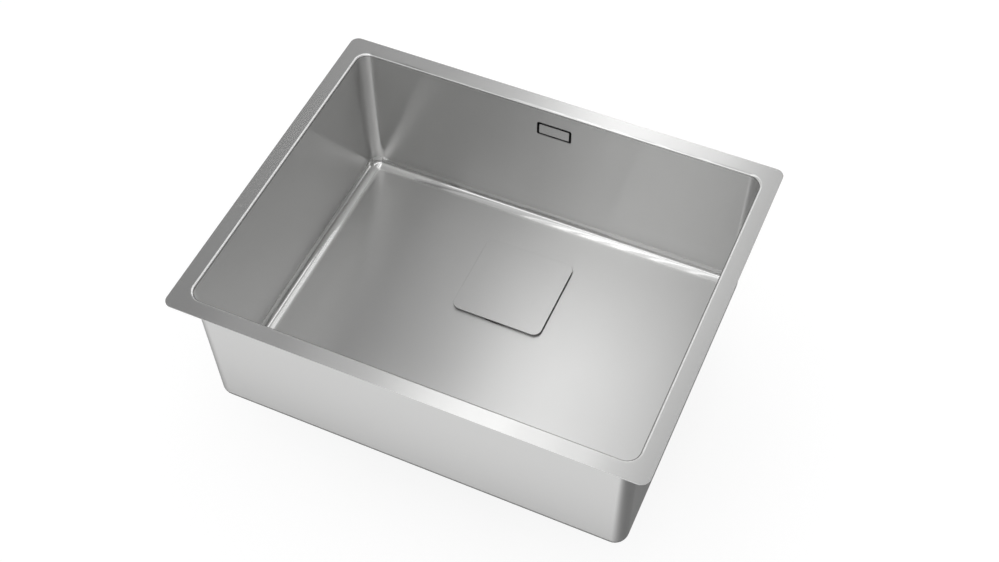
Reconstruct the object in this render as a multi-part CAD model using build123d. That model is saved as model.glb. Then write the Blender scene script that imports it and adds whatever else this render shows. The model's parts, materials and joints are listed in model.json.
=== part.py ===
"""Undermount kitchen sink: one pressed steel bowl with a flat rim, a square cover plate over a basket waste,
and an overflow behind the back wall.

Millimetres, +Z up, +X to the right and +Y to the back as the user stands at the sink.
The origin is the centre of the bowl's mouth, in the plane of the rim's top face.
"""

from build123d import *
import math
import os

# ------------------------------------------------------------------ driving dimensions
# Bowl
SHEET = 1.0                    # steel sheet of the bowl and rim
MOUTH_WIDTH = 500.0            # wall to wall at the mouth, along X
MOUTH_DEPTH = 396.0            # wall to wall at the mouth, along Y
MOUTH_CORNER = 15.0            # upright corner radius at the mouth
BOWL_DEPTH = 190.0             # rim top to floor
WALL_DRAFT = 1.0               # degrees that each wall leans in towards the floor
FLOOR_BEND = 14.0              # wall to floor radius, inside
RIM_LAND = 20.0                # rim width outside the mouth
RIM_CORNER = 10.0              # outline radius of the rim
RIM_BEND = 3.0                 # rim to wall radius, outside of the bend

# Waste, on an upright axis behind the middle of the bowl
WASTE_Y = 79.0                 # waste axis behind the bowl's centre
CUTOUT_RADIUS = 45.0           # 90 mm hole in the floor
CUP_FLANGE_WIDTH = 11.0        # flange of the strainer cup outside that hole
CUP_FLANGE_THICK = 1.0
CUP_SHEET = 1.0
CUP_PLAY = 1.5                 # between the hole and the cup's straight wall
CUP_WALL_DEPTH = 20.0          # flange top to the start of the conical seat
CUP_SEAT_DROP = 16.0           # height of the conical seat
CUP_SEAT_IN = 10.0             # how far the seat runs in
CUP_HUB_RADIUS = 13.0
CUP_SPOKE = 5.0
CUP_SPOKES = 4
CUP_BELOW_FLOOR = 0.2          # flange top lies this far under the floor
CUP_GASKET_THICK = 0.6
RECESS_GAP = 1.0               # play between the cup's flange and its pressed recess
RECESS_EDGE = 0.6              # broken edge of that recess

BODY_GASKET_THICK = 2.5
BODY_GASKET_INSET = 2.0        # gasket edge inside the body's rim
BODY_RIM_THICK = 4.0
BODY_BORE_STEP = 1.5           # the body's bore is this much wider than the hole, all round
BODY_WALL = 3.0
BODY_CHAMBER = 36.0            # height of the straight chamber
BODY_CONE = 14.0               # height of the cone to the outlet
BODY_COLLAR_STEP = 3.1         # collar outside the thread
BODY_COLLAR = 6.0
BODY_RIBS = 8
BODY_RIB_THICK = 2.2
BODY_RIB_STEP = 1.0            # ribs stop this far inside the body's rim
BODY_RIB_LENGTH = 18.0
OUTLET_RADIUS = 23.9           # 1 1/2 inch pipe thread, over the crests
OUTLET_BORE = 20.5
OUTLET_LENGTH = 28.0
OUTLET_LEAD_IN = 1.0
BRIDGE_RIB = 4.0
BRIDGE_DEPTH = 10.0
BRIDGE_BOSS_RADIUS = 10.0
BRIDGE_GAP = 4.0               # cup floor to the bridge's top

SCREW_RADIUS = 3.0             # M6 clamping screw
SCREW_HEAD_RADIUS = 8.5
SCREW_HEAD = 3.5
SCREW_SOCKET = 3.7             # hole in the head that takes the basket's latch
SCREW_SOCKET_DEPTH = 2.6
SCREW_TAIL = 1.0               # screw past the insert
INSERT_RADIUS = 7.0
FIT = 0.1                      # play where one fixed piece sits in another
SEAT_GAP = 0.2                 # play where a piece that lifts off sits on its seat

# Basket that lifts out of the cup
BASKET_SHEET = 0.8
BASKET_RIM_PLAY = 1.2          # between the basket's rim and the cup's bore
BASKET_RIM_THICK = 2.0
BASKET_RIM_WIDTH = 3.8
BASKET_TAPER = 6.5             # how far the basket's wall runs in
BASKET_BELOW_FLANGE = 2.2      # rim top under the cup's flange top
BASKET_HEIGHT = 21.5
BASKET_FLOOR_HOLE = 2.2
BASKET_RING_RADIUS = 14.5      # inner ring of holes
BASKET_RING_INSET = 6.5        # outer ring of holes, inside the basket's floor
BASKET_HOLE_PITCH = 11.4       # from hole to hole round each ring
BASKET_SLOTS = 16
BASKET_SLOT_WIDTH = 2.4
BASKET_SLOT_HEIGHT = 8.0
SEAL_THICK = 3.4
SEAL_GAP = 0.3                 # between the rubber and the cup's seat
SEAL_LIP = 1.2
RETAINER_INSET = 7.0           # retainer inside the basket's floor
RETAINER_THICK = 1.5
LATCH_RADIUS = 3.4
LATCH_SLIT = 1.0
STEM_RADIUS = 4.0
STEM_BORE = 1.5
KNOB_RADIUS = 9.0
KNOB_HEIGHT = 5.0
KNOB_FLUTES = 8
KNOB_FLUTE_RADIUS = 1.2

# Cover plate over the waste
COVER_MARGIN = 1.0             # plate past the cup's flange
COVER_CORNER = 10.0
COVER_THICK = 1.0
COVER_GAP = 2.8                # open slot between the floor and the plate
COVER_EDGE = 0.3
FOOT_RADIUS = 3.2
FOOT_TIP_RADIUS = 2.6
FOOT_INSET = 6.0               # feet stand this far inside the edge of the cup's flange

# Overflow, on the outside of the back wall
OVERFLOW_DROP = 33.0           # rim top to the middle of the overflow
OVERFLOW_WIDTH = 43.5
OVERFLOW_HEIGHT = 20.0
OVERFLOW_CORNER = 3.0
PLATE_GAP = 3.0                # water slot round the overflow plate
PLATE_THICK = 1.2
PLATE_CORNER = 1.0
PLATE_PIN_RADIUS = 2.0
PLATE_PIN_SPACING = 22.0
PLATE_PIN_LENGTH = 13.0
GASKET_MARGIN = 5.0            # overflow gasket outside the hole
GASKET_THICK = 2.0
GASKET_LIP = 1.0               # the hole in the gasket is this much larger all round
HOUSING_WALL = 2.4
HOUSING_FLANGE = 3.0
STUD_SPACING = 66.0
STUD_RADIUS = 2.0              # M4 weld studs
STUD_SPARE = 2.5
WASHER_RADIUS = 4.5
WASHER_THICK = 0.8
NUT_FLATS = 7.0
NUT_THICK = 3.2
EAR_RADIUS = 6.5

PIPE_RADIUS = 10.0
PIPE_BORE = 8.2
PIPE_BEND = 32.0
PIPE_FROM_WALL = 21.0          # pipe axis behind the outside of the back wall
SPIGOT_RADIUS = 13.6
SPIGOT_LENGTH = 18.0
SPIGOT_SHOULDER = 3.0          # length of the narrow bore that the pipe stops against
SPIGOT_DROP = 23.0             # lower spigot's axis under the bowl's underside
RING_NUT_WALL = 3.4
RING_NUT_HEIGHT = 15.0
RING_NUT_FACE = 2.5
RING_NUT_RIBS = 12
RING_NUT_RIB = 1.1
RING_NUT_RIB_WIDTH = 3.0
SEAL_RING_LENGTH = 4.5
SEAL_RING_CHAMFER = 1.6

# Sound deadening pads under the floor
PAD_THICK = 2.5
PAD_CORNER = 12.0
PAD_MARGIN = 28.0              # pad edge inside the floor's flat
PAD_GAP = 22.0                 # between the pads, and from the waste

# ------------------------------------------------------------------ derived places
COS_DRAFT = math.cos(math.radians(WALL_DRAFT))
SIN_DRAFT = math.sin(math.radians(WALL_DRAFT))
LEAN = SIN_DRAFT / COS_DRAFT
FLOOR_WIDTH = MOUTH_WIDTH - 2 * BOWL_DEPTH * LEAN
FLOOR_DEPTH = MOUTH_DEPTH - 2 * BOWL_DEPTH * LEAN
FLOOR_Z = -BOWL_DEPTH
UNDERSIDE_Z = FLOOR_Z - SHEET
AXIS = Location((0, WASTE_Y, 0))

CUP_FLANGE_RADIUS = CUTOUT_RADIUS + CUP_FLANGE_WIDTH
CUP_WALL_RADIUS = CUTOUT_RADIUS - CUP_PLAY
RECESS_DEPTH = CUP_BELOW_FLOOR + CUP_FLANGE_THICK + CUP_GASKET_THICK
RECESS_RADIUS = CUP_FLANGE_RADIUS + RECESS_GAP
RECESS_Z = FLOOR_Z - RECESS_DEPTH
CUP_TOP = FLOOR_Z - CUP_BELOW_FLOOR
CUP_BORE = CUP_WALL_RADIUS - CUP_SHEET
SEAT_TOP = CUP_TOP - CUP_WALL_DEPTH
SEAT_BOTTOM = SEAT_TOP - CUP_SEAT_DROP
SEAT_SLOPE = CUP_SEAT_IN / CUP_SEAT_DROP
CUP_FLOOR = SEAT_BOTTOM
CUP_FLOOR_RADIUS = CUP_BORE - CUP_SEAT_IN
CUP_UNDER = CUP_FLOOR - CUP_SHEET

BODY_RIM_RADIUS = CUP_FLANGE_RADIUS
BODY_GASKET_RADIUS = BODY_RIM_RADIUS - BODY_GASKET_INSET
BODY_BORE_RADIUS = CUTOUT_RADIUS + BODY_BORE_STEP
BODY_COLLAR_RADIUS = OUTLET_RADIUS + BODY_COLLAR_STEP
BODY_GASKET_TOP = RECESS_Z - SHEET
BODY_TOP = BODY_GASKET_TOP - BODY_GASKET_THICK
BODY_RADIUS = BODY_BORE_RADIUS + BODY_WALL
CHAMBER_BOTTOM = BODY_TOP - BODY_CHAMBER
CONE_BOTTOM = CHAMBER_BOTTOM - BODY_CONE
COLLAR_BOTTOM = CONE_BOTTOM - BODY_COLLAR
OUTLET_END = COLLAR_BOTTOM - OUTLET_LENGTH
BRIDGE_TOP = CUP_UNDER - BRIDGE_GAP
BRIDGE_BOTTOM = BRIDGE_TOP - BRIDGE_DEPTH
SCREW_END = BRIDGE_BOTTOM - SCREW_TAIL
SCREW_TOP = CUP_FLOOR + SCREW_HEAD

BASKET_RIM_RADIUS = CUP_BORE - BASKET_RIM_PLAY
BASKET_TOP_RADIUS = BASKET_RIM_RADIUS - BASKET_RIM_WIDTH
BASKET_FLOOR_RADIUS = BASKET_TOP_RADIUS - BASKET_TAPER
BASKET_TOP = CUP_TOP - BASKET_BELOW_FLANGE
BASKET_UNDER = BASKET_TOP - BASKET_HEIGHT
RETAINER_RADIUS = BASKET_FLOOR_RADIUS - RETAINER_INSET
SEAL_UNDER = BASKET_UNDER - SEAL_THICK
RETAINER_UNDER = SEAL_UNDER - RETAINER_THICK
LATCH_END = SCREW_TOP - SCREW_SOCKET_DEPTH + SEAT_GAP
KNOB_TOP = BASKET_TOP

COVER_SIDE = 2 * (CUP_FLANGE_RADIUS + COVER_MARGIN)
FOOT_CIRCLE_RADIUS = CUP_FLANGE_RADIUS - FOOT_INSET
COVER_UNDER = FLOOR_Z + COVER_GAP
FOOT_HEIGHT = COVER_UNDER - CUP_TOP - SEAT_GAP

PLATE_WIDTH = OVERFLOW_WIDTH - 2 * PLATE_GAP
PLATE_HEIGHT = OVERFLOW_HEIGHT - 2 * PLATE_GAP
CHAMBER_WIDTH = OVERFLOW_WIDTH + 2 * GASKET_LIP
CHAMBER_HEIGHT = OVERFLOW_HEIGHT + 2 * GASKET_LIP
HOUSING_BACK = PIPE_FROM_WALL + SPIGOT_RADIUS
RING_NUT_RADIUS = SPIGOT_RADIUS + FIT + RING_NUT_WALL
# The overflow is built on the outside of the back wall: local X along the wall, Y up it, Z straight out of it.
WALL_POINT = MOUTH_DEPTH / 2 - OVERFLOW_DROP * LEAN + SHEET / COS_DRAFT
BACK_WALL = Plane(
    origin=(0, WALL_POINT, -OVERFLOW_DROP), x_dir=(-1, 0, 0), z_dir=(0, COS_DRAFT, -SIN_DRAFT)
)
UPPER_SPIGOT_START = -(CHAMBER_HEIGHT / 2 + HOUSING_WALL)
UPPER_SPIGOT_END = UPPER_SPIGOT_START - SPIGOT_LENGTH
LOWER_SPIGOT_Z = UNDERSIDE_Z - SPIGOT_DROP
SPIGOT_AXIS = Location((0, 0, LOWER_SPIGOT_Z), (-90, 0, 0))
LOWER_SPIGOT_START = WASTE_Y + BODY_RADIUS
LOWER_SPIGOT_END = LOWER_SPIGOT_START + SPIGOT_LENGTH


# ------------------------------------------------------------------ helpers
def rounded(width, depth, radius, z=0.0):
    """A rounded rectangle centred on the bowl's axis at height z."""
    return Pos(0, 0, z) * RectangleRounded(width, depth, radius)


def ring(outer, inner, low, high):
    """An upright ring about the Z axis, from low to high."""
    profile = Plane.XZ * Pos((outer + inner) / 2, (low + high) / 2) * Rectangle(outer - inner, high - low)
    return revolve(profile, Axis.Z)


def spun(*points):
    """A solid of revolution about Z from (radius, height) points."""
    return revolve(make_face(Plane.XZ * Polyline(*points, close=True)), Axis.Z)


def disc(radius, low, high):
    """An upright cylinder from low to high."""
    return Pos(0, 0, low) * Cylinder(radius, high - low, align=(Align.CENTER, Align.CENTER, Align.MIN))


def seat_radius(z):
    """Inside radius of the cup's conical seat at height z."""
    return CUP_BORE - (SEAT_TOP - z) * SEAT_SLOPE


# ------------------------------------------------------------------ bowl
def tub(extra):
    """The bowl's inside shape, grown by extra on every side: drafted walls, rounded corners and floor bend."""
    grow = extra / COS_DRAFT
    mouth = Rectangle(MOUTH_WIDTH + 2 * grow, MOUTH_DEPTH + 2 * grow)
    block = extrude(mouth, BOWL_DEPTH + extra, dir=(0, 0, -1))
    block = draft(block.faces().filter_by(Axis.Z, reverse=True), Plane.XY, -WALL_DRAFT)
    block = fillet(block.edges().filter_by(Plane.XY, reverse=True), MOUTH_CORNER + extra)
    return fillet(block.edges().group_by(Axis.Z)[0], FLOOR_BEND + extra)


def bowl():
    """Bowl and rim, pressed from one sheet, with the waste recess and the overflow hole."""
    rim = extrude(
        rounded(MOUTH_WIDTH + 2 * RIM_LAND, MOUTH_DEPTH + 2 * RIM_LAND, RIM_CORNER, -SHEET), SHEET
    )
    shell = tub(SHEET) + rim
    under_bend = shell.faces().filter_by(Plane.XY).sort_by(Axis.Z)
    underside = [f for f in under_bend if abs(f.center().Z + SHEET) < SHEET / 10]
    inner_loop = underside[0].inner_wires()[0].edges()
    shell = fillet(inner_loop, RIM_BEND - SHEET)
    shell += AXIS * disc(RECESS_RADIUS + SHEET, RECESS_Z - SHEET, UNDERSIDE_Z)
    shell -= tub(0)
    top = [f for f in shell.faces().filter_by(Plane.XY) if abs(f.center().Z) < SHEET / 10][0]
    shell = fillet(top.inner_wires()[0].edges(), RIM_BEND)
    shell -= AXIS * disc(RECESS_RADIUS, RECESS_Z, FLOOR_Z + SHEET)
    recess_edges = [
        e
        for e in shell.edges().filter_by(GeomType.CIRCLE)
        if abs(e.radius - RECESS_RADIUS) < SHEET / 10 and abs(e.center().Z - FLOOR_Z) < SHEET / 10
    ]
    shell = chamfer(recess_edges, RECESS_EDGE)
    shell -= AXIS * disc(CUTOUT_RADIUS, RECESS_Z - 2 * SHEET, FLOOR_Z)
    hole = extrude(RectangleRounded(OVERFLOW_WIDTH, OVERFLOW_HEIGHT, OVERFLOW_CORNER), 4 * SHEET, both=True)
    return shell - BACK_WALL.location * hole


# ------------------------------------------------------------------ waste
def cup_gasket():
    """Thin washer in the recess, under the cup's flange."""
    return AXIS * ring(CUP_FLANGE_RADIUS - FIT, CUTOUT_RADIUS + FIT, RECESS_Z, RECESS_Z + CUP_GASKET_THICK)


def strainer_cup():
    """Pressed steel cup: flange, straight wall, conical seat, and a spoked floor round a hub."""
    cup = spun(
        (CUP_FLANGE_RADIUS, CUP_TOP),
        (CUP_BORE, CUP_TOP),
        (CUP_BORE, SEAT_TOP),
        (CUP_FLOOR_RADIUS, CUP_FLOOR),
        (SCREW_RADIUS + FIT, CUP_FLOOR),
        (SCREW_RADIUS + FIT, CUP_UNDER),
        (CUP_FLOOR_RADIUS + CUP_SHEET / 2, CUP_UNDER),
        (CUP_WALL_RADIUS, SEAT_TOP - CUP_SHEET / 2),
        (CUP_WALL_RADIUS, CUP_TOP - CUP_FLANGE_THICK),
        (CUP_FLANGE_RADIUS, CUP_TOP - CUP_FLANGE_THICK),
    )
    mouth = cup.edges().filter_by(GeomType.CIRCLE).filter_by(
        lambda e: abs(e.radius - CUP_BORE) < FIT and abs(e.center().Z - CUP_TOP) < FIT
    )
    cup = chamfer(mouth, CUP_FLANGE_THICK / 2)
    windows = ring(CUP_FLOOR_RADIUS - CUP_SHEET, CUP_HUB_RADIUS, CUP_UNDER - SHEET, CUP_FLOOR + SHEET)
    for spoke in PolarLocations(0, CUP_SPOKES, start_angle=45):
        bar = Pos(CUP_BORE / 2, 0, CUP_FLOOR) * Box(CUP_BORE, CUP_SPOKE, 4 * SHEET)
        windows -= spoke * bar
    return AXIS * (cup - windows)


def body_gasket():
    """Thick washer between the floor's underside and the waste body."""
    return AXIS * ring(BODY_GASKET_RADIUS, CUTOUT_RADIUS + FIT, BODY_TOP, BODY_GASKET_TOP)


def body_inside():
    """The waste body's inner shape: straight chamber, then a cone to the outlet."""
    return spun(
        (0, BODY_TOP),
        (BODY_BORE_RADIUS, BODY_TOP),
        (BODY_BORE_RADIUS, CHAMBER_BOTTOM + BODY_WALL / 3),
        (OUTLET_BORE, CONE_BOTTOM),
        (0, CONE_BOTTOM),
    )


def waste_body():
    """Moulded chamber under the floor: clamping rim with ribs, straight wall, cone, and a hole to the spigot."""
    shell = spun(
        (0, BODY_TOP),
        (BODY_RIM_RADIUS, BODY_TOP),
        (BODY_RIM_RADIUS, BODY_TOP - BODY_RIM_THICK),
        (BODY_RADIUS, BODY_TOP - BODY_RIM_THICK),
        (BODY_RADIUS, CHAMBER_BOTTOM),
        (BODY_COLLAR_RADIUS, CONE_BOTTOM),
        (0, CONE_BOTTOM),
    )
    web = make_face(
        Plane.XZ
        * Polyline(
            (BODY_RADIUS - BODY_WALL / 2, BODY_TOP - BODY_RIM_THICK),
            (BODY_RIM_RADIUS - BODY_RIB_STEP, BODY_TOP - BODY_RIM_THICK),
            (BODY_RADIUS, BODY_TOP - BODY_RIB_LENGTH),
            (BODY_RADIUS - BODY_WALL / 2, BODY_TOP - BODY_RIB_LENGTH),
            close=True,
        )
    )
    for turn in PolarLocations(0, BODY_RIBS, start_angle=180 / BODY_RIBS):
        shell += turn * extrude(web, BODY_RIB_THICK / 2, both=True)
    shell -= body_inside()
    return AXIS * (shell - SPIGOT_AXIS * disc(PIPE_BORE, BODY_BORE_RADIUS - BODY_WALL, BODY_RADIUS + BODY_WALL))


def waste_spigot():
    """Side spigot that takes the overflow pipe, saddled on the chamber's wall."""
    reach = LOWER_SPIGOT_END - WASTE_Y
    spigot = SPIGOT_AXIS * disc(SPIGOT_RADIUS, BODY_BORE_RADIUS, reach)
    spigot -= disc(BODY_RADIUS, OUTLET_END, BODY_TOP)
    spigot -= SPIGOT_AXIS * disc(PIPE_BORE, BODY_BORE_RADIUS, reach)
    return AXIS * (spigot - SPIGOT_AXIS * disc(PIPE_RADIUS + FIT, BODY_RADIUS + SPIGOT_SHOULDER, reach))


def waste_outlet():
    """Collar and threaded outlet below the cone."""
    return AXIS * spun(
        (OUTLET_BORE, CONE_BOTTOM),
        (BODY_COLLAR_RADIUS, CONE_BOTTOM),
        (BODY_COLLAR_RADIUS, COLLAR_BOTTOM),
        (OUTLET_RADIUS, COLLAR_BOTTOM),
        (OUTLET_RADIUS, OUTLET_END + OUTLET_LEAD_IN),
        (OUTLET_RADIUS - OUTLET_LEAD_IN, OUTLET_END),
        (OUTLET_BORE, OUTLET_END),
    )


def waste_bridge():
    """Cross of ribs inside the chamber, with the boss that the screw pulls on."""
    bridge = disc(BRIDGE_BOSS_RADIUS, BRIDGE_BOTTOM, BRIDGE_TOP)
    middle = (BRIDGE_TOP + BRIDGE_BOTTOM) / 2
    for turn in PolarLocations(0, 2, start_angle=45, angular_range=180):
        bridge += turn * (Pos(0, 0, middle) * Box(3 * BODY_RADIUS, BRIDGE_RIB, BRIDGE_DEPTH))
    bridge = bridge & body_inside()
    return AXIS * (bridge - disc(INSERT_RADIUS + FIT, BRIDGE_BOTTOM, BRIDGE_TOP))


def clamp_insert():
    """Brass thread insert in the middle of the bridge."""
    return AXIS * ring(INSERT_RADIUS, SCREW_RADIUS + FIT, BRIDGE_BOTTOM, BRIDGE_TOP)


def clamp_screw():
    """Screw that pulls the body up to the cup. Its hollow head takes the basket's latch."""
    screw = disc(SCREW_HEAD_RADIUS, CUP_FLOOR, SCREW_TOP) + disc(SCREW_RADIUS, SCREW_END, CUP_FLOOR)
    head_edge = screw.edges().group_by(Axis.Z)[-1]
    screw = chamfer(head_edge, SCREW_HEAD / 3)
    tip = screw.edges().group_by(Axis.Z)[0]
    screw = chamfer(tip, SCREW_RADIUS / 4)
    return AXIS * (screw - disc(SCREW_SOCKET, SCREW_TOP - SCREW_SOCKET_DEPTH, SCREW_TOP))


# ------------------------------------------------------------------ basket
def basket():
    """Strainer basket: rolled rim, tapered wall with slots, and a floor with rings of holes."""
    floor_top = BASKET_UNDER + BASKET_SHEET
    shell = spun(
        (BASKET_RIM_RADIUS, BASKET_TOP),
        (BASKET_TOP_RADIUS - BASKET_SHEET, BASKET_TOP),
        (BASKET_FLOOR_RADIUS - BASKET_SHEET, floor_top),
        (STEM_RADIUS + FIT, floor_top),
        (STEM_RADIUS + FIT, BASKET_UNDER),
        (BASKET_FLOOR_RADIUS, BASKET_UNDER),
        (BASKET_TOP_RADIUS, BASKET_TOP - BASKET_SHEET),
        (BASKET_RIM_RADIUS - BASKET_SHEET, BASKET_TOP - BASKET_SHEET),
        (BASKET_RIM_RADIUS - BASKET_SHEET, BASKET_TOP - BASKET_RIM_THICK),
        (BASKET_RIM_RADIUS, BASKET_TOP - BASKET_RIM_THICK),
    )
    cutters = []
    for radius in (BASKET_RING_RADIUS, BASKET_FLOOR_RADIUS - BASKET_RING_INSET):
        for place in PolarLocations(radius, round(2 * math.pi * radius / BASKET_HOLE_PITCH)):
            cutters.append(place * disc(BASKET_FLOOR_HOLE, BASKET_UNDER - SHEET, floor_top + SHEET))
    slot_z = BASKET_UNDER + BASKET_HEIGHT / 2
    slot = Pos(BASKET_TOP_RADIUS, 0, slot_z) * Box(
        4 * BASKET_SHEET + BASKET_TOP_RADIUS - BASKET_FLOOR_RADIUS, BASKET_SLOT_WIDTH, BASKET_SLOT_HEIGHT
    )
    for turn in PolarLocations(0, BASKET_SLOTS):
        cutters.append(turn * slot)
    return AXIS * (shell - cutters)


def basket_seal():
    """Rubber stopper ring under the basket, with its edge cut to the cup's seat."""
    top_radius = seat_radius(BASKET_UNDER) - SEAL_GAP
    low_radius = seat_radius(SEAL_UNDER) - SEAL_GAP
    return AXIS * spun(
        (STEM_RADIUS + FIT, BASKET_UNDER),
        (top_radius, BASKET_UNDER),
        (low_radius, SEAL_UNDER),
        (low_radius - SEAL_LIP, SEAL_UNDER),
        (low_radius - 2 * SEAL_LIP, SEAL_UNDER + SEAL_LIP / 2),
        (RETAINER_RADIUS + SEAL_LIP, SEAL_UNDER + SEAL_LIP / 2),
        (RETAINER_RADIUS, SEAL_UNDER),
        (STEM_RADIUS + FIT, SEAL_UNDER),
    )


def seal_retainer():
    """Steel disc that holds the rubber up against the basket."""
    return AXIS * ring(RETAINER_RADIUS, STEM_RADIUS + FIT, RETAINER_UNDER, SEAL_UNDER)


def basket_stem():
    """Post through the basket, riveted under the retainer, with a split latch at its foot."""
    rivet = RETAINER_THICK
    stem = spun(
        (0, KNOB_TOP - KNOB_HEIGHT / 2),
        (STEM_RADIUS, KNOB_TOP - KNOB_HEIGHT / 2),
        (STEM_RADIUS, RETAINER_UNDER),
        (STEM_RADIUS + 2 * rivet, RETAINER_UNDER),
        (STEM_RADIUS + 2 * rivet, RETAINER_UNDER - rivet / 2),
        (LATCH_RADIUS - 2 * FIT, RETAINER_UNDER - rivet / 2),
        (LATCH_RADIUS, LATCH_END + 2 * FIT),
        (LATCH_RADIUS - 2 * FIT, LATCH_END),
        (0, LATCH_END),
    )
    slit_height = RETAINER_UNDER - rivet - LATCH_END
    slit = Pos(0, 0, LATCH_END + slit_height / 2) * Box(4 * LATCH_RADIUS, LATCH_SLIT, slit_height)
    return AXIS * (stem - slit)


def basket_knob():
    """Fluted knob that lifts the basket."""
    low = KNOB_TOP - KNOB_HEIGHT
    knob = disc(KNOB_RADIUS, low, KNOB_TOP)
    knob = chamfer(knob.edges().group_by(Axis.Z)[-1], KNOB_HEIGHT / 4)
    for place in PolarLocations(KNOB_RADIUS + KNOB_FLUTE_RADIUS / 3, KNOB_FLUTES):
        knob -= place * disc(KNOB_FLUTE_RADIUS, low, KNOB_TOP)
    return AXIS * (knob - disc(STEM_RADIUS + FIT, low, KNOB_TOP - KNOB_HEIGHT / 2))


# ------------------------------------------------------------------ cover plate
def cover_plate():
    """Square plate that hides the waste."""
    plate = extrude(Pos(0, 0, COVER_UNDER) * RectangleRounded(COVER_SIDE, COVER_SIDE, COVER_CORNER), COVER_THICK)
    plate = chamfer(plate.edges().group_by(Axis.Z)[-1], COVER_EDGE)
    return AXIS * plate


def cover_feet():
    """Four tapered feet stuck under the plate. They stand on the cup's flange."""
    foot_end = COVER_UNDER - FOOT_HEIGHT
    foot = spun((0, foot_end), (FOOT_TIP_RADIUS, foot_end), (FOOT_RADIUS, COVER_UNDER), (0, COVER_UNDER))
    return [AXIS * place * foot for place in PolarLocations(FOOT_CIRCLE_RADIUS, 4, start_angle=45)]


# ------------------------------------------------------------------ overflow
def overflow_plate():
    """Small plate in the overflow hole, flush with the wall, on two pins."""
    face = RectangleRounded(PLATE_WIDTH, PLATE_HEIGHT, PLATE_CORNER)
    plate = Pos(0, 0, -SHEET) * extrude(face, PLATE_THICK)
    for x in (-PLATE_PIN_SPACING / 2, PLATE_PIN_SPACING / 2):
        plate += Pos(x, 0, 0) * disc(PLATE_PIN_RADIUS, PLATE_THICK - SHEET, PLATE_PIN_LENGTH)
    return BACK_WALL.location * plate


def overflow_gasket():
    """Rubber frame between the back wall and the housing."""
    outline = RectangleRounded(
        OVERFLOW_WIDTH + 2 * GASKET_MARGIN, OVERFLOW_HEIGHT + 2 * GASKET_MARGIN, OVERFLOW_CORNER + GASKET_MARGIN
    )
    opening = RectangleRounded(CHAMBER_WIDTH, CHAMBER_HEIGHT, OVERFLOW_CORNER + GASKET_LIP)
    return BACK_WALL.location * extrude(outline - opening, GASKET_THICK)


def overflow_housing():
    """Moulded box behind the wall: flange with two ears, chamber, pin sockets and a spigot down."""
    flange_top = GASKET_THICK + HOUSING_FLANGE
    outline = RectangleRounded(
        OVERFLOW_WIDTH + 2 * GASKET_MARGIN, OVERFLOW_HEIGHT + 2 * GASKET_MARGIN, OVERFLOW_CORNER + GASKET_MARGIN
    )
    ears = make_hull(
        [e for x in (-1, 1) for e in (Pos(x * STUD_SPACING / 2, 0) * Circle(EAR_RADIUS)).edges()]
    )
    flange = Pos(0, 0, GASKET_THICK) * extrude(outline + ears, HOUSING_FLANGE)
    box = extrude(
        RectangleRounded(
            CHAMBER_WIDTH + 2 * HOUSING_WALL,
            CHAMBER_HEIGHT + 2 * HOUSING_WALL,
            OVERFLOW_CORNER + GASKET_LIP + HOUSING_WALL,
        ),
        HOUSING_BACK,
    )
    box -= Pos(0, 0, 0) * extrude(outline, GASKET_THICK)
    box = fillet(box.edges().group_by(Axis.Z)[-1], HOUSING_WALL * 2)
    down = Location((0, 0, PIPE_FROM_WALL), (90, 0, 0))
    spigot = down * disc(SPIGOT_RADIUS, 0, -UPPER_SPIGOT_END)
    housing = flange + box + spigot
    chamber = extrude(
        RectangleRounded(CHAMBER_WIDTH, CHAMBER_HEIGHT, OVERFLOW_CORNER + GASKET_LIP), HOUSING_BACK - HOUSING_WALL
    )
    housing -= chamber
    housing -= down * disc(PIPE_BORE, 0, -UPPER_SPIGOT_END)
    stop = -UPPER_SPIGOT_START + SPIGOT_SHOULDER
    housing -= down * disc(PIPE_RADIUS + FIT, stop, -UPPER_SPIGOT_END)
    for x in (-1, 1):
        socket = disc(PLATE_PIN_RADIUS + HOUSING_WALL, PLATE_PIN_LENGTH / 2, HOUSING_BACK - HOUSING_WALL / 2)
        socket -= disc(PLATE_PIN_RADIUS + FIT, PLATE_PIN_LENGTH / 2, PLATE_PIN_LENGTH + FIT)
        housing += Pos(x * PLATE_PIN_SPACING / 2, 0, 0) * socket
        housing -= Pos(x * STUD_SPACING / 2, 0, 0) * disc(STUD_RADIUS + 3 * FIT, GASKET_THICK, flange_top)
    return BACK_WALL.location * housing


def stud_places():
    """Where the two studs stand on the back wall."""
    return [Pos(x * STUD_SPACING / 2, 0, 0) for x in (-1, 1)]


def overflow_studs():
    """Two studs welded to the outside of the back wall."""
    length = GASKET_THICK + HOUSING_FLANGE + WASHER_THICK + NUT_THICK + STUD_SPARE
    stud = chamfer(disc(STUD_RADIUS, 0, length).edges().group_by(Axis.Z)[-1], STUD_RADIUS / 4)
    return [BACK_WALL.location * place * stud for place in stud_places()]


def overflow_washers():
    """Washers under the stud nuts."""
    low = GASKET_THICK + HOUSING_FLANGE
    washer = ring(WASHER_RADIUS, STUD_RADIUS + 2 * FIT, low, low + WASHER_THICK)
    return [BACK_WALL.location * place * washer for place in stud_places()]


def overflow_nuts():
    """Hexagon nuts that hold the housing on its studs."""
    low = GASKET_THICK + HOUSING_FLANGE + WASHER_THICK
    hexagon = RegularPolygon(NUT_FLATS / 2, 6, major_radius=False)
    nut = Pos(0, 0, low) * extrude(hexagon, NUT_THICK) - disc(STUD_RADIUS + FIT, low, low + NUT_THICK)
    return [BACK_WALL.location * place * nut for place in stud_places()]


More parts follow.
